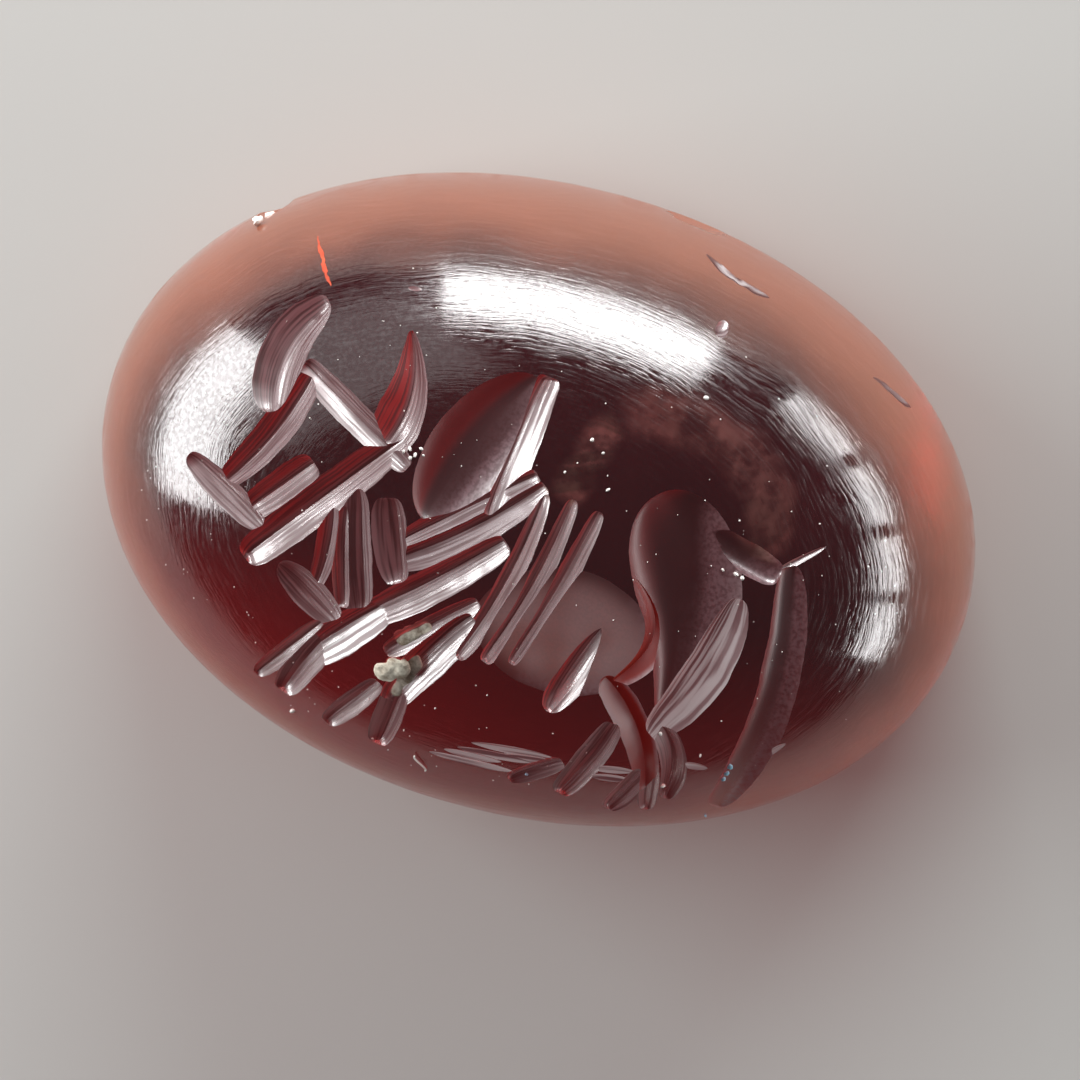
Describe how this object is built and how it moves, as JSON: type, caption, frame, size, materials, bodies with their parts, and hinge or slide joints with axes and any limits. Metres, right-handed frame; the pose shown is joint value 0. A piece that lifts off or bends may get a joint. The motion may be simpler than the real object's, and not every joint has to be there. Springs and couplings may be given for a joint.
{
  "type": "engraved ringstone, an intaglio seal",
  "caption": "Oval high-domed garnet ringstone with a flat back, engraved with a humped bull walking left, to press an image into wax or clay.",
  "frame": {"origin": "middle of the flat back, on the surface that the stone lies on", "axes": "+Z out of the engraved convex face, +X along the stone towards the bull's tail, +Y towards the bull's back"},
  "size_m": [0.0152, 0.0108, 0.0062],
  "materials": {
    "garnet": "translucent dark red garnet with an old worn polish, paler orange-pink at the edge",
    "dirt": "matte cream mineral crust and dust in the cuts",
    "veil": "matte brown veils and a healed crack inside the stone"
  },
  "bodies": {
    "root": {"engraved_garnet": "garnet"}
  },
  "joints": []
}
